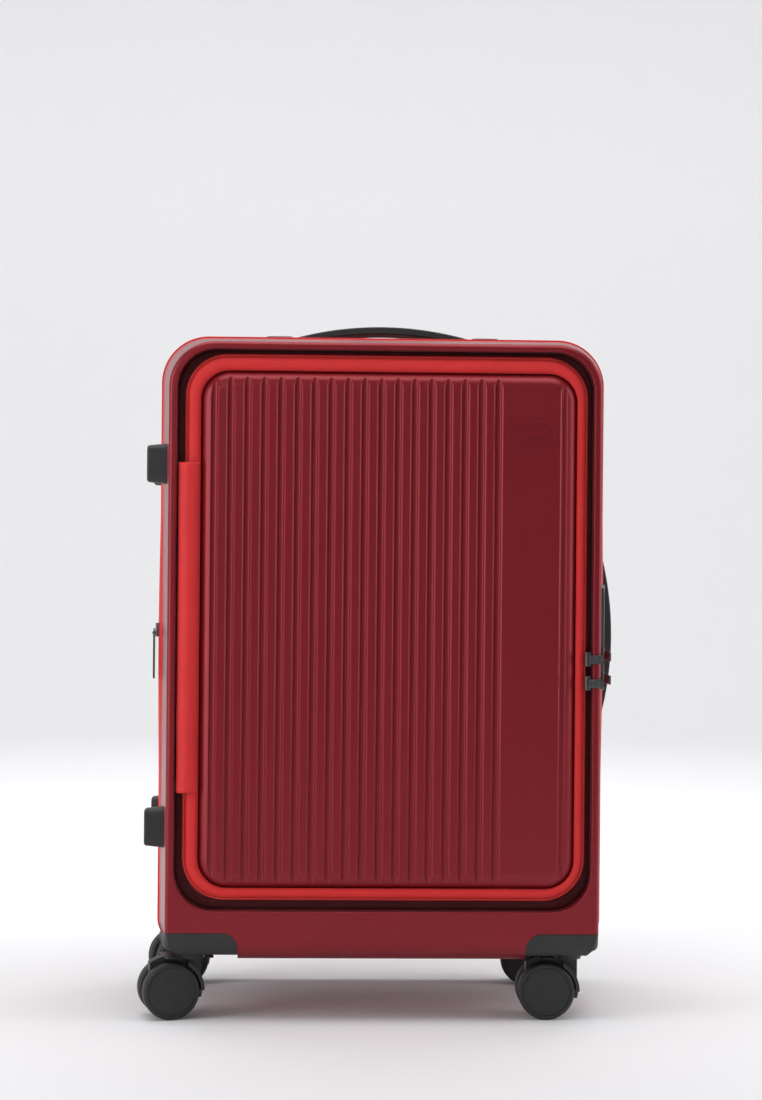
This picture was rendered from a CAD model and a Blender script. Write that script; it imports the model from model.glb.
import math

import bmesh
import bpy
from mathutils import Matrix, Vector, noise


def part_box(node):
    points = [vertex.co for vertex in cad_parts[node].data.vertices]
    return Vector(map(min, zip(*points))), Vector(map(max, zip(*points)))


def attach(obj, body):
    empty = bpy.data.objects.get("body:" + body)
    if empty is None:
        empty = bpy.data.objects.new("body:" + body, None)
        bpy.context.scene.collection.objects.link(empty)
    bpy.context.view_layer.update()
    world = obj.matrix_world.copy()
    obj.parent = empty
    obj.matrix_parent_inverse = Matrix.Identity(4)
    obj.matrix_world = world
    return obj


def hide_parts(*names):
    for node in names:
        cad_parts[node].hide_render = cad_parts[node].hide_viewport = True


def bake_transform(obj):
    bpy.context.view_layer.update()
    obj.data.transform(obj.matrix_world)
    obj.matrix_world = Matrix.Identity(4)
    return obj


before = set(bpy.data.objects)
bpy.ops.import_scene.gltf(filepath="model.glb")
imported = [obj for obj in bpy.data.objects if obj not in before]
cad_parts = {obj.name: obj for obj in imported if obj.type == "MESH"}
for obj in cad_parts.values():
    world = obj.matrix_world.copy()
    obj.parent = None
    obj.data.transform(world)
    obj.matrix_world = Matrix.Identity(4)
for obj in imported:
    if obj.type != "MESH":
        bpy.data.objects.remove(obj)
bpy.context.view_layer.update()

# ---------------------------------------------------------------- studio
# A white paper bowl all round the case, with large soft lights above and at both sides.
# The camera stands level with the middle of the case, a little to its hinge side.
scene = bpy.context.scene
camera_data = bpy.data.cameras.new("camera")
camera_data.lens = 75.3
camera_data.sensor_width = 36.0
camera_data.clip_end = 50.0
camera_data.shift_y = -0.0027
camera = bpy.data.objects.new("camera", camera_data)
camera_turn = math.radians(-1.9)
camera_roll = math.radians(0.5)
camera_distance = 2.437
scene.collection.objects.link(camera)
camera.matrix_world = (
    Matrix.Rotation(camera_turn, 4, "Z")
    @ Matrix.Translation((0.0, -camera_distance, 0.478))
    @ Matrix.Rotation(math.radians(90.0), 4, "X")
    @ Matrix.Rotation(camera_roll, 4, "Z")
)
scene.camera = camera
scene.view_settings.view_transform = "Standard"

world = bpy.data.worlds.new("studio_air")
world.use_nodes = True
world.node_tree.nodes["Background"].inputs["Color"].default_value = (0.93, 0.95, 1.0, 1.0)
world.node_tree.nodes["Background"].inputs["Strength"].default_value = 0.16
scene.world = world


def soft_light(name, place, aim, size, watts):
    lamp = bpy.data.lights.new(name, "AREA")
    lamp.shape = "RECTANGLE"
    lamp.size, lamp.size_y = size
    lamp.energy = watts
    light = bpy.data.objects.new(name, lamp)
    scene.collection.objects.link(light)
    facing = (Vector(aim) - Vector(place)).to_track_quat("-Z", "Y")
    light.matrix_world = Matrix.Translation(place) @ facing.to_matrix().to_4x4()


soft_light("overhead", (0.0, -0.5, 2.6), (0.0, 0.0, 0.5), (2.4, 1.6), 34.0)
soft_light("left_box", (-1.9, -1.0, 0.9), (0.0, 0.0, 0.4), (1.0, 1.8), 17.0)
soft_light("right_box", (1.9, -0.3, 1.0), (0.0, 0.0, 0.4), (0.8, 1.8), 13.0)
soft_light("sweep_light", (0.0, 1.2, 2.9), (0.0, 3.4, 0.6), (4.0, 1.2), 88.0)
soft_light("front_fill", (-0.9, -3.0, 1.5), (0.0, 0.0, 0.4), (1.2, 1.2), 7.0)

form = bmesh.new()
bmesh.ops.create_circle(form, cap_ends=True, segments=96, radius=5.0)
raised = bmesh.ops.extrude_edge_only(form, edges=list(form.edges))["geom"]
raised_verts = [item for item in raised if isinstance(item, bmesh.types.BMVert)]
bmesh.ops.translate(form, verts=raised_verts, vec=(0.0, 0.0, 5.0))
floor_face = max(form.faces, key=lambda face: len(face.verts))
crease = list(floor_face.edges)
bmesh.ops.bevel(
    form, geom=crease, affect="EDGES", offset=1.6, segments=24, profile=0.5, material=-1, offset_type="OFFSET"
)
sweep_mesh = bpy.data.meshes.new("paper_sweep")
form.to_mesh(sweep_mesh)
form.free()
sweep_mesh.shade_smooth()
sweep = bpy.data.objects.new("paper_sweep", sweep_mesh)
scene.collection.objects.link(sweep)


# ---------------------------------------------------------------- shader maths
# Finishes are written as sums and products of sockets. A Value wraps one socket, and a Finish
# adds the nodes of one material to its tree.
class Value:
    def __init__(self, finish, socket):
        self.finish = finish
        self.socket = socket

    def maths(self, operation, first, second):
        return self.finish.node("ShaderNodeMath", {"operation": operation}, {0: first, 1: second})

    def __add__(self, other):
        return self.maths("ADD", self, other)

    __radd__ = __add__

    def __sub__(self, other):
        return self.maths("SUBTRACT", self, other)

    def __rsub__(self, other):
        return self.maths("SUBTRACT", other, self)

    def __mul__(self, other):
        return self.maths("MULTIPLY", self, other)

    __rmul__ = __mul__

    def over(self, other):
        return self.maths("GREATER_THAN", self, other)

    def sine(self):
        return self.maths("SINE", self, 0.0)


class Finish:
    def __init__(self, name):
        self.material = bpy.data.materials.new(name)
        self.material.use_nodes = True
        self.tree = self.material.node_tree
        self.shader = self.tree.nodes["Principled BSDF"]
        self.place = self.node("ShaderNodeTexCoord", {}, {}, "Object")

    def node(self, kind, settings, inputs, output=0):
        made = self.tree.nodes.new(kind)
        for key, value in settings.items():
            setattr(made, key, value)
        for key, value in inputs.items():
            if isinstance(value, Value):
                self.tree.links.new(value.socket, made.inputs[key])
            else:
                made.inputs[key].default_value = value
        return Value(self, made.outputs[output])

    def axes(self):
        split = self.node("ShaderNodeSeparateXYZ", {}, {0: self.place})
        outputs = split.socket.node.outputs
        return [Value(self, outputs[axis]) for axis in "XYZ"]

    def speckle(self, scale, detail=2.0, place=None):
        inputs = {"Vector": place or self.place, "Scale": scale, "Detail": detail}
        return self.node("ShaderNodeTexNoise", {}, inputs, "Fac")

    def blend(self, mask, dark, light):
        inputs = {"Factor": mask, 6: dark, 7: light}
        return self.node("ShaderNodeMix", {"data_type": "RGBA"}, inputs, 2)

    def set(self, **values):
        for key, value in values.items():
            socket = self.shader.inputs[key.replace("_", " ").replace("  ", " ")]
            if isinstance(value, Value):
                self.tree.links.new(value.socket, socket)
            else:
                socket.default_value = value

    def bump(self, height, depth, strength=1.0):
        bumps = {"Height": height, "Distance": depth, "Strength": strength}
        relief = self.node("ShaderNodeBump", {}, bumps, "Normal")
        self.set(Normal=relief)


def dress(finish, *nodes):
    for node in nodes:
        for material_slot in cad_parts[node].material_slots:
            material_slot.material = finish.material


sweep_finish = Finish("white_paper")
sweep_finish.set(Base_Color=(0.86, 0.86, 0.87, 1.0), Roughness=0.9)
sweep_mesh.materials.append(sweep_finish.material)

# ---------------------------------------------------------------- shells and door
# Thermoformed polycarbonate in a deep red pearl with a fine pebbled face. The grooves and the
# raised emblem are pressed into the sheet, so they are part of the CAD solids.
pearl_red = (0.27, 0.005, 0.014, 1.0)
pearl_deep = (0.19, 0.003, 0.009, 1.0)
shell_finish = Finish("pearl_red_shell")
flakes = shell_finish.speckle(1900.0, 1.0)
cloudy = shell_finish.speckle(14.0, 3.0)
shell_finish.set(
    Base_Color=shell_finish.blend(flakes * 0.6 + cloudy * 0.4, pearl_deep, pearl_red),
    Roughness=flakes * 0.16 + 0.30,
    Metallic=0.55,
    Coat_Weight=0.22,
    Coat_Roughness=0.22,
    Sheen_Weight=0.14,
    Sheen_Roughness=0.3,
    Sheen_Tint=(1.0, 0.42, 0.45, 1.0),
)
shell_finish.bump(shell_finish.speckle(1100.0, 1.0), 0.00016, 0.5)
dress(shell_finish, "front_shell", "rear_shell", "front_door")

# ---------------------------------------------------------------- moulded black plastic
# Glass-filled nylon for the wheel housings, forks, handles, feet and pull-out handle: nearly
# black, with a spark-eroded grain and slightly polished high spots.
plastic_finish = Finish("black_nylon")
grain = plastic_finish.speckle(1500.0, 2.0)
scuffs = plastic_finish.speckle(60.0, 4.0)
plastic_finish.set(
    Base_Color=plastic_finish.blend(scuffs, (0.008, 0.008, 0.009, 1.0), (0.020, 0.020, 0.021, 1.0)),
    Roughness=grain * 0.2 + 0.36,
)
plastic_finish.bump(grain, 0.00012, 0.6)
case_halves = ("front", "rear")
sides = ("left", "right")
corners = [f"{half}_{side}" for half in case_halves for side in sides]
dress(plastic_finish, *[f"{corner}_wheel_housing" for corner in corners])
dress(plastic_finish, *[f"{corner}_fork" for corner in corners])
dress(plastic_finish, "handle_mounts", "front_side_feet", "rear_side_feet", "trolley_foot_bracket")
dress(plastic_finish, "trolley_bezel", "trolley_grip", "trolley_button")

grip_finish = Finish("soft_touch_grip")
grip_grain = grip_finish.speckle(2200.0, 2.0)
grip_finish.set(Base_Color=(0.012, 0.012, 0.013, 1.0), Roughness=grip_grain * 0.15 + 0.48, Sheen_Weight=0.15)
grip_finish.bump(grip_grain, 0.0001, 0.5)
dress(grip_finish, "top_handle_grip", "side_handle_grip")

# ---------------------------------------------------------------- wheels
# Solid polyurethane treads on black hubs, matt, with faint scuffing round the tread.
wheel_finish = Finish("matt_wheel")
tread = wheel_finish.speckle(700.0, 3.0)
dust = wheel_finish.speckle(90.0, 4.0)
wheel_finish.set(
    Base_Color=wheel_finish.blend(dust, (0.007, 0.007, 0.008, 1.0), (0.022, 0.022, 0.023, 1.0)),
    Roughness=tread * 0.2 + 0.46,
)
wheel_finish.bump(tread, 0.00012, 0.5)
dress(wheel_finish, *[f"{corner}_{end}_wheel" for corner in corners for end in ("near", "far")])

# ---------------------------------------------------------------- metal parts
# Gunmetal lock, sliders and pulls; plain steel pins and screws; anodised tubes brushed upright.
gunmetal = Finish("gunmetal")
cast = gunmetal.speckle(900.0, 3.0)
gunmetal.set(
    Base_Color=gunmetal.blend(cast, (0.10, 0.098, 0.10, 1.0), (0.17, 0.165, 0.165, 1.0)),
    Metallic=1.0,
    Roughness=cast * 0.14 + 0.22,
)
gunmetal.bump(cast, 0.00005, 0.4)
lock_nodes = ["lock_case", "lock_bezel", "lock_release", "lock_key_cylinder"]
dials = [f"lock_dial_{number}" for number in (1, 2, 3)]
slider_nodes = [f"{kind}_slider_{end}" for kind in ("door", "main") for end in ("upper", "lower")]
dress(gunmetal, *lock_nodes, *dials, *slider_nodes, "expansion_slider", "expansion_pull")

brushed = Finish("brushed_steel")
stretch = brushed.node("ShaderNodeMapping", {}, {"Vector": brushed.place, "Scale": (1500.0, 1500.0, 20.0)})
lines = brushed.speckle(1.0, 2.0, stretch)
brushed.set(Base_Color=(0.55, 0.55, 0.57, 1.0), Metallic=1.0, Roughness=lines * 0.2 + 0.25)
brushed.bump(lines, 0.00003, 0.5)
dress(brushed, "trolley_outer_tubes", "trolley_middle_tubes", "trolley_inner_tubes")
dress(brushed, *[f"{corner}_caster_pins" for corner in corners])
dress(brushed, "front_housing_screws", "rear_housing_screws")


# ---------------------------------------------------------------- door zipper
# A woven tape is riveted to the bottom of the channel. The coil runs along it, and a puffed cloth
# band joins the coil to the door, with thin piping where it meets the door's edge.
def outline_face(form, y, box, low_radius, top_radius, pitch):
    """One rounded face at depth y, facing the door side, with its edge cut into short steps."""
    left, right, low, high = box
    ring = [form.verts.new((x, y, z)) for x, z in ((left, low), (right, low), (right, high), (left, high))]
    form.faces.new(ring)
    for pair, radius in ((ring[:2], low_radius), (ring[2:], top_radius)):
        steps = max(3, round(radius * math.pi / 2 / pitch))
        bmesh.ops.bevel(
            form, geom=pair, affect="VERTICES", offset=radius, segments=steps, profile=0.5, material=-1,
            offset_type="OFFSET",
        )
    for edge in list(form.edges):
        cuts = round(edge.calc_length() / pitch) - 1
        if cuts > 0:
            bmesh.ops.subdivide_edges(form, edges=[edge], cuts=cuts)
    form.normal_update()
    return next(iter(form.faces))


def finish_piece(name, form, finish, thickness=0.0, smooth=True):
    """Turns the form into a linked object in its finish, with a cloth thickness if it has one."""
    mesh = bpy.data.meshes.new(name)
    form.to_mesh(mesh)
    form.free()
    if smooth:
        mesh.shade_smooth()
    mesh.materials.append(finish.material)
    piece = bpy.data.objects.new(name, mesh)
    scene.collection.objects.link(piece)
    if thickness:
        wall = piece.modifiers.new("cloth", "SOLIDIFY")
        wall.thickness = thickness
        wall.offset = -1.0
    return piece


def outline_length(box, low_radius, top_radius, inset=0.0):
    """Length round a rounded outline of the case, measured that far inside its edge."""
    left, right, low, high = box
    straight = 2 * (right - left + high - low)
    return straight - (4 - math.pi) * (low_radius + top_radius) - 2 * math.pi * inset


def strip_cut(box, radius, steps):
    """Width and length of the straight strip that a stepped ring is cut from."""
    width = sum(math.hypot(inward, forward) for inward, forward in steps)
    return (width, outline_length(box, radius, radius, sum(inward for inward, _ in steps) / 2))


def stepped_ring(name, y, box, radii, pitch, steps, finish, thickness, rib=0.0):
    """Ring of cloth or coil in front view: each step moves inwards and forwards from the last."""
    form = bmesh.new()
    face = outline_face(form, y, box, *radii, pitch)
    for inward, forward in steps:
        bmesh.ops.inset_region(
            form, faces=[face], thickness=inward, depth=forward, use_even_offset=True, use_boundary=True
        )
        for number, vert in enumerate(face.verts):
            if rib and number % 2:
                vert.co.y -= rib
    bmesh.ops.delete(form, geom=[face], context="FACES_ONLY")
    return finish_piece(name, form, finish, thickness)


red_weave = Finish("red_zipper_cloth")
across, depth, upright = red_weave.axes()
warp = (across * 7200.0 + depth * 7200.0).sine()
weft = (upright * 7200.0).sine()
weave = warp * weft * 0.5 + 0.5
faded = red_weave.speckle(30.0, 3.0)
weave_dark, weave_light = (0.52, 0.004, 0.008, 1.0), (0.86, 0.016, 0.014, 1.0)
red_weave.set(
    Base_Color=red_weave.blend(weave * 0.5 + faded * 0.5, weave_dark, weave_light),
    Roughness=0.55,
    Sheen_Weight=0.5,
    Sheen_Roughness=0.4,
    Sheen_Tint=(1.0, 0.35, 0.3, 1.0),
)
red_weave.bump(weave, 0.00018, 0.7)

channel_weave = Finish("channel_tape_cloth")
across, depth, upright = channel_weave.axes()
channel_weft = ((across + upright) * 7200.0).sine() * 0.5 + 0.5
channel_weave.set(
    Base_Color=channel_weave.blend(channel_weft, (0.050, 0.001, 0.003, 1.0), (0.095, 0.002, 0.005, 1.0)),
    Roughness=0.75,
)
channel_weave.bump(channel_weft, 0.00018, 0.7)

coil_finish = Finish("red_nylon_coil")
coil_fibre = coil_finish.speckle(1600.0, 2.0)
coil_finish.set(
    Base_Color=coil_finish.blend(coil_fibre, (0.55, 0.010, 0.012, 1.0), (0.80, 0.05, 0.045, 1.0)),
    Roughness=0.32,
)
coil_finish.bump(coil_fibre, 0.00008, 0.5)

gusset_low, gusset_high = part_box("door_gusset")
tape_low, tape_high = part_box("door_zipper_tape")
door_low, door_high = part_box("front_door")
tape_box = (tape_low.x, tape_high.x, tape_low.z, tape_high.z)
band_box = (gusset_low.x, gusset_high.x, gusset_low.z, gusset_high.z)
band_radius = 0.040
tape_steps = [(0.0035, 0.0003), (0.0035, 0.0004), (0.0035, 0.0006)]
tape_radius = 0.0397
channel_tape = stepped_ring(
    "door_zipper_tape_cloth", tape_high.y - 0.0004, tape_box, (tape_radius, tape_radius), 0.006, tape_steps,
    channel_weave, 0.0009,
)
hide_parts("door_zipper_tape")
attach(channel_tape, "front_half")
tape_cut = strip_cut(tape_box, tape_radius, tape_steps)

coil_width = 0.0028
coil_box = (
    band_box[0] - coil_width, band_box[1] + coil_width, band_box[2] - coil_width, band_box[3] + coil_width
)
coil_radius = band_radius + coil_width
door_coil = stepped_ring(
    "door_zipper_coil", gusset_high.y - 0.0006, coil_box, (coil_radius, coil_radius), 0.0011,
    [(0.0, 0.0022), (0.0009, 0.0016), (0.0012, 0.0004), (0.0009, -0.0014)], coil_finish, 0.0, 0.0005,
)
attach(door_coil, "front_half")

puff = [
    (0.0, 0.0035), (0.0006, 0.0028), (0.0012, 0.0019), (0.0018, 0.0011), (0.0022, 0.0002), (0.0022, -0.0008),
    (0.0016, -0.0019), (0.0010, -0.0030),
]


def outline_reach(place, box, radius):
    """How far a point lies outside a rounded outline, and the way straight out from there."""
    left, right, low, high = box
    half = Vector(((right - left) / 2 - radius, (high - low) / 2 - radius))
    away = Vector((place.x - (left + right) / 2, place.z - (low + high) / 2))
    over = Vector((abs(away.x) - half.x, abs(away.y) - half.y))
    if over.x > 0.0 and over.y > 0.0:
        reach, way = over.length - radius, over.normalized()
    elif over.x > over.y:
        reach, way = over.x - radius, Vector((1.0, 0.0))
    else:
        reach, way = over.y - radius, Vector((0.0, 1.0))
    return reach, Vector((math.copysign(way.x, away.x), 0.0, math.copysign(way.y, away.y)))


puffed_band = stepped_ring(
    "door_puffed_band", gusset_high.y - 0.0006, band_box, (band_radius, band_radius), 0.004, puff,
    red_weave, 0.0007,
)
band_width = sum(inward for inward, forward in puff)
door_box = (door_low.x, door_high.x, door_low.z, door_high.z)
for vert in puffed_band.data.vertices:
    outer_reach, _ = outline_reach(vert.co, band_box, band_radius)
    share = min(1.0, max(0.0, -outer_reach / band_width))
    door_reach, way = outline_reach(vert.co, door_box, 0.031)
    round_back = max(0.0, 0.018 - (vert.co.y - door_low.y))
    skin = 0.018 - math.sqrt(0.018**2 - round_back**2) + 0.0004
    gap = door_reach - (band_width + outer_reach) + skin
    vert.co -= way * gap * share
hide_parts("door_gusset")
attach(puffed_band, "door")
band_cut = strip_cut(band_box, band_radius, puff)

piping_gap = 0.0022
piping_box = (
    door_low.x - piping_gap, door_high.x + piping_gap, door_low.z - piping_gap, door_high.z + piping_gap
)
piping_round = [(0.0, 0.0006), (0.0004, 0.0006), (0.0006, 0.0002), (0.0006, -0.0006)]
door_piping = stepped_ring(
    "door_piping", gusset_low.y + 0.0006, piping_box, (0.0330, 0.0330), 0.004, piping_round, red_weave, 0.0,
)
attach(door_piping, "door")

# ---------------------------------------------------------------- hinge flap
# A straight strip of the same cloth, hemmed at both ends, covers the band along the hinge side.
# It is sewn to the channel tape and to the door's edge, and bends when the door opens.
flap_low, flap_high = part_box("door_hinge_flap")
form = bmesh.new()
bmesh.ops.create_grid(form, x_segments=16, y_segments=120, size=0.5)
flap_left = flap_low.x + 0.0008
flap_right = door_low.x + 0.0012
flap_span = flap_right - flap_left
flap_arch = 0.0062
flap_back = door_low.y + 0.0065
for vert in form.verts:
    along = vert.co.x + 0.5
    rise = math.sin(along * math.pi)
    height = flap_low.z + (vert.co.y + 0.5) * (flap_high.z - flap_low.z)
    ripple = 0.0004 * noise.noise(Vector((along * 3.0, height * 28.0, 0.0)))
    vert.co = Vector((flap_left + along * flap_span, flap_back - flap_arch * rise + ripple, height))
bmesh.ops.recalc_face_normals(form, faces=form.faces)
if next(iter(form.faces)).normal.y > 0:
    bmesh.ops.reverse_faces(form, faces=form.faces)
hinge_flap = finish_piece("door_hinge_flap_cloth", form, red_weave, 0.0011)
hem_height = 0.007
for hem_z in (flap_low.z, flap_high.z - hem_height):
    for vert in hinge_flap.data.vertices:
        if hem_z <= vert.co.z <= hem_z + hem_height:
            vert.co.y -= 0.0005
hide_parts("door_hinge_flap")
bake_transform(hinge_flap)


# ---------------------------------------------------------------- bands between the halves
# Two puffed strips of zipper cloth run round the case: the expansion gusset and the main zipper.
# They bulge a little at mid-height, where nothing stiffens them.
def sleeve(name, node, box, low_radius, top_radius, lines, puffed, finish):
    """Ring round the case between a CAD node's front and back, puffed outwards across its depth."""
    low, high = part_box(node)
    form = bmesh.new()
    face = outline_face(form, low.y, box, low_radius, top_radius, 0.006)
    bmesh.ops.reverse_faces(form, faces=[face])
    depth = high.y - low.y
    for _ in range(lines):
        bmesh.ops.inset_region(
            form, faces=[face], thickness=0.0, depth=depth / lines, use_even_offset=True, use_boundary=True
        )
    bmesh.ops.delete(form, geom=[face], context="FACES_ONLY")
    bmesh.ops.recalc_face_normals(form, faces=form.faces)
    form.normal_update()
    for vert in form.verts:
        across = math.sin(math.pi * (vert.co.y - low.y) / depth)
        waist = math.exp(-(((vert.co.z - 0.377) / 0.17) ** 2)) if abs(vert.co.x) > 0.2 else 0.0
        swell = puffed * across + 0.0028 * waist * across
        vert.co += vert.normal * swell
    return finish_piece(name, form, finish, 0.0)


shell_low, shell_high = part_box("rear_shell")
case_box = (shell_low.x, shell_high.x, shell_low.z, shell_high.z)
# The cut widths take in the puff: 20.4 mm of gap needs 21.2 mm of cloth, and 8.4 mm needs 10.2 mm.
for name, node, body, lines, cut_width, shell in (
    ("expansion_cloth", "expansion_band", "front_half", 10, 0.0212, "front_shell"),
    ("main_zipper_cloth", "main_zipper_tape", "rear_half", 6, 0.0102, "rear_shell"),
):
    band_cloth = sleeve(name, node, case_box, 0.030, 0.046, lines, 0.0016, red_weave)
    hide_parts(node)
    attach(band_cloth, body)
    band_cut = (cut_width, outline_length(case_box, 0.030, 0.046))

# Each zipper's coil: two rows of nylon turns that stand just proud of the cloth.
coil_grow = 0.0030
coil_box_main = (
    case_box[0] - coil_grow, case_box[1] + coil_grow, case_box[2] - coil_grow, case_box[3] + coil_grow
)
main_low, main_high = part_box("main_zipper_tape")
expansion_low, expansion_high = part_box("expansion_band")
coil_places = (
    ("main_zipper_coil", main_low.y - 0.0012, "rear_half"),
    ("expansion_zipper_coil", (expansion_low.y + expansion_high.y) / 2 - 0.0007, "front_half"),
)
for name, coil_y, body in coil_places:
    main_coil = stepped_ring(
        name, coil_y + 0.0012, coil_box_main, (0.033, 0.049), 0.0013,
        [(0.0, 0.0006), (0.0, 0.0012), (0.0, 0.0006)], coil_finish, 0.0012, 0.0,
    )
    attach(main_coil, body)

# ---------------------------------------------------------------- cloth hinge of the case
# A strip of the same red cloth, sewn inside both shells along the hinge side, holds the halves
# together and folds as the case opens.
form = bmesh.new()
bmesh.ops.create_grid(form, x_segments=14, y_segments=90, size=0.5)
hinge_front = expansion_low.y - 0.004
hinge_back = main_high.y + 0.004
hinge_x = case_box[0] + 0.0052
for vert in form.verts:
    along = vert.co.x + 0.5
    height = 0.11 + (vert.co.y + 0.5) * 0.52
    fold = 0.0006 * noise.noise(Vector((along * 2.0, height * 20.0, 3.0)))
    vert.co = Vector((hinge_x + fold, hinge_front + along * (hinge_back - hinge_front), height))
case_hinge_cloth = finish_piece("case_hinge_cloth", form, red_weave, 0.0008)
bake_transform(case_hinge_cloth)

# ---------------------------------------------------------------- linings
# Black polyester with a fine diagonal weave lines both halves. It is glued at the mouths and hangs
# a little loose between, so it wrinkles.
lining_weave = Finish("black_polyester_lining")
across, depth, upright = lining_weave.axes()
twill = ((across + depth + upright) * 5200.0).sine() * 0.5 + 0.5
worn = lining_weave.speckle(40.0, 3.0)
lining_dark, lining_light = (0.012, 0.012, 0.014, 1.0), (0.045, 0.045, 0.05, 1.0)
lining_weave.set(
    Base_Color=lining_weave.blend(twill * 0.6 + worn * 0.4, lining_dark, lining_light),
    Roughness=0.62,
    Sheen_Weight=0.4,
    Sheen_Roughness=0.45,
)
lining_weave.bump(twill, 0.00015, 0.6)


def wrinkle(form, depth, scale, seed):
    form.normal_update()
    for vert in form.verts:
        place = vert.co * scale + Vector((0.0, 0.0, seed))
        vert.co += vert.normal * depth * noise.noise(place)


def lining_tub(name, node, body, back_y, mouth_y, inset, draw_in, seed):
    """Cloth wall inside one half, from its mouth to back_y, narrowing by draw_in on the way."""
    low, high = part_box(node)
    box = (low.x + inset, high.x - inset, low.z + inset, high.z - inset)
    form = bmesh.new()
    face = outline_face(form, mouth_y, box, 0.036, 0.054, 0.012)
    lines = 12
    for _ in range(lines):
        bmesh.ops.inset_region(
            form, faces=[face], thickness=draw_in / lines, depth=(mouth_y - back_y) / lines,
            use_even_offset=True, use_boundary=True,
        )
    bmesh.ops.delete(form, geom=[face], context="FACES_ONLY")
    wrinkle(form, 0.0012, 26.0, seed)
    tub = finish_piece(name, form, lining_weave, 0.0006)
    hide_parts(node)
    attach(tub, body)
    tub_cut = (abs(back_y - mouth_y), outline_length(box, 0.036, 0.054, draw_in / 2))


rear_low, rear_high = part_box("rear_lining")
front_low, front_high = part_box("front_lining")
lining_tub("rear_lining_cloth", "rear_lining", "rear_half", rear_high.y, rear_low.y, 0.0006, 0.0085, 1.0)
lining_tub("front_lining_cloth", "front_lining", "front_half", front_low.y, front_high.y, 0.0006, 0.0085, 5.0)

# Cloth covers over the four wheel wells, glued down along the shell.
for half, face_sign, lining_low, lining_high in (
    ("front", -1.0, front_low, front_high), ("rear", 1.0, rear_low, rear_high)
):
    for side_name, side in (("left", -1.0), ("right", 1.0)):
        housing_low, housing_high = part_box(f"{half}_{side_name}_wheel_housing")
        cover = 0.0038
        inner_x = min(abs(housing_low.x), abs(housing_high.x)) - cover
        inner_y = min(abs(housing_low.y), abs(housing_high.y)) - cover
        outer_x = lining_high.x - 0.004
        outer_y = max(abs(lining_low.y), abs(lining_high.y)) - 0.002
        top_z, foot_z = housing_high.z + cover, lining_low.z + 0.004
        form = bmesh.new()
        bmesh.ops.create_cube(form, size=1.0)
        for vert in form.verts:
            vert.co = Vector((
                side * (outer_x if vert.co.x > 0 else inner_x),
                face_sign * (outer_y if vert.co.y > 0 else inner_y),
                top_z if vert.co.z > 0 else foot_z,
            ))
        bmesh.ops.recalc_face_normals(form, faces=form.faces)
        hidden = [
            face for face in form.faces
            if face.normal.z < -0.5 or face.normal.x * side > 0.5 or face.normal.y * face_sign > 0.5
        ]
        bmesh.ops.delete(form, geom=hidden, context="FACES_ONLY")
        bent = [edge for edge in form.edges if len(edge.link_faces) == 2]
        bmesh.ops.bevel(
            form, geom=bent, affect="EDGES", offset=0.007, segments=5, profile=0.5, material=-1,
            offset_type="OFFSET",
        )
        form.normal_update()
        well_cover = finish_piece(f"{half}_{side_name}_well_cover", form, lining_weave, 0.0006)
        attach(well_cover, f"{half}_half")


def quilted_panel(name, node, body, crown, rows, columns, forward):
    """Padded cloth panel in the place of a CAD board, with sewn channels both ways."""
    low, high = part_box(node)
    form = bmesh.new()
    bmesh.ops.create_grid(form, x_segments=88, y_segments=120, size=0.5)
    width, height = high.x - low.x, high.z - low.z
    for vert in form.verts:
        u, v = vert.co.x + 0.5, vert.co.y + 0.5
        edge = min(u, 1 - u, v, 1 - v)
        seam = min(abs(math.sin(u * columns * math.pi)), abs(math.sin(v * rows * math.pi)))
        swell = crown * min(1.0, edge * 24.0) * seam**0.5
        x = low.x + width * u
        z = low.z + height * v
        corner_x = max(0.0, abs(x) - (high.x - 0.04))
        corner_z = max(0.0, z - (high.z - 0.04), (low.z + 0.04) - z)
        if corner_x and corner_z:
            reach = math.hypot(corner_x, corner_z)
            if reach > 0.04:
                x = math.copysign(high.x - 0.04 + corner_x * 0.04 / reach, x)
                z += (corner_z * 0.04 / reach - corner_z) * (1 if z > low.z + height / 2 else -1)
        vert.co = Vector((x, (low.y if forward < 0 else high.y) + forward * swell, z))
    bmesh.ops.recalc_face_normals(form, faces=form.faces)
    panel = finish_piece(name, form, lining_weave, 0.0012)
    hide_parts(node)
    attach(panel, body)


quilted_panel("rear_panel_cloth", "trolley_cover_board", "rear_half", 0.0030, 6, 4, -1)
quilted_panel("divider_panel_cloth", "compartment_divider", "front_half", 0.0024, 1, 1, 1)
quilted_panel("door_lining_cloth", "door_lining", "door", 0.0016, 1, 1, 1)

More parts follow.
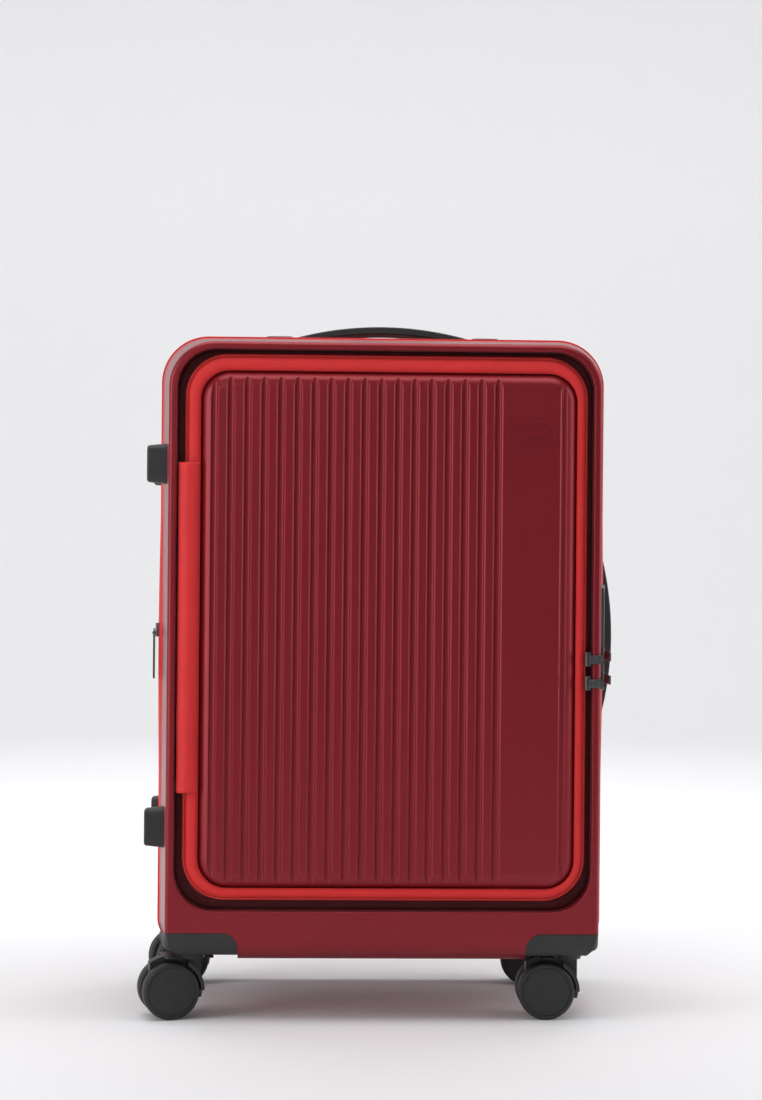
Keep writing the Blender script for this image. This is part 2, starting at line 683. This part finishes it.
# ---------------------------------------------------------------- packing straps
# Two crossed elastic straps with a side-release buckle hold the clothes in the rear half.
strap_finish = Finish("strap_webbing")
across, depth, upright = strap_finish.axes()
rib = ((across + upright) * 4200.0).sine() * 0.5 + 0.5
strap_finish.set(
    Base_Color=strap_finish.blend(rib, (0.010, 0.010, 0.011, 1.0), (0.038, 0.038, 0.040, 1.0)), Roughness=0.6
)
strap_finish.bump(rib, 0.0003, 0.7)
panel_low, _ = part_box("trolley_cover_board")
strap_y = panel_low.y - 0.0055
strap_ends = (
    ((-0.19, 0.60), (-0.018, 0.392)), ((0.19, 0.60), (0.018, 0.392)),
    ((-0.19, 0.15), (-0.018, 0.362)), ((0.19, 0.15), (0.018, 0.362)),
)
for number, ((x1, z1), (x2, z2)) in enumerate(strap_ends, start=1):
    form = bmesh.new()
    bmesh.ops.create_grid(form, x_segments=24, y_segments=2, size=0.5)
    along = Vector((x2 - x1, 0.0, z2 - z1))
    side = Vector((-along.z, 0.0, along.x)).normalized() * 0.025
    for vert in form.verts:
        u = vert.co.x + 0.5
        lift = -0.0022 * math.sin(u * math.pi)
        vert.co = Vector((x1, strap_y + lift, z1)) + along * u + side * vert.co.y
    bmesh.ops.recalc_face_normals(form, faces=form.faces)
    strap = finish_piece(f"packing_strap_{number}", form, strap_finish, 0.0014)
    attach(strap, "rear_half")
form = bmesh.new()
bmesh.ops.create_cube(form, size=1.0)
bmesh.ops.scale(form, verts=form.verts, vec=(0.052, 0.007, 0.046))
bmesh.ops.bevel(
    form, geom=form.edges, affect="EDGES", offset=0.0024, segments=3, profile=0.5, material=-1,
    offset_type="OFFSET",
)
front = min(form.faces, key=lambda face: face.calc_center_median().y)
bmesh.ops.inset_region(form, faces=[front], thickness=0.005, depth=0.0)
bmesh.ops.inset_region(form, faces=[front], thickness=0.0012, depth=-0.0014)
bmesh.ops.translate(form, verts=form.verts, vec=(0.0, strap_y - 0.0035, 0.377))
buckle = finish_piece("strap_buckle", form, plastic_finish, 0.0, smooth=False)
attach(buckle, "rear_half")
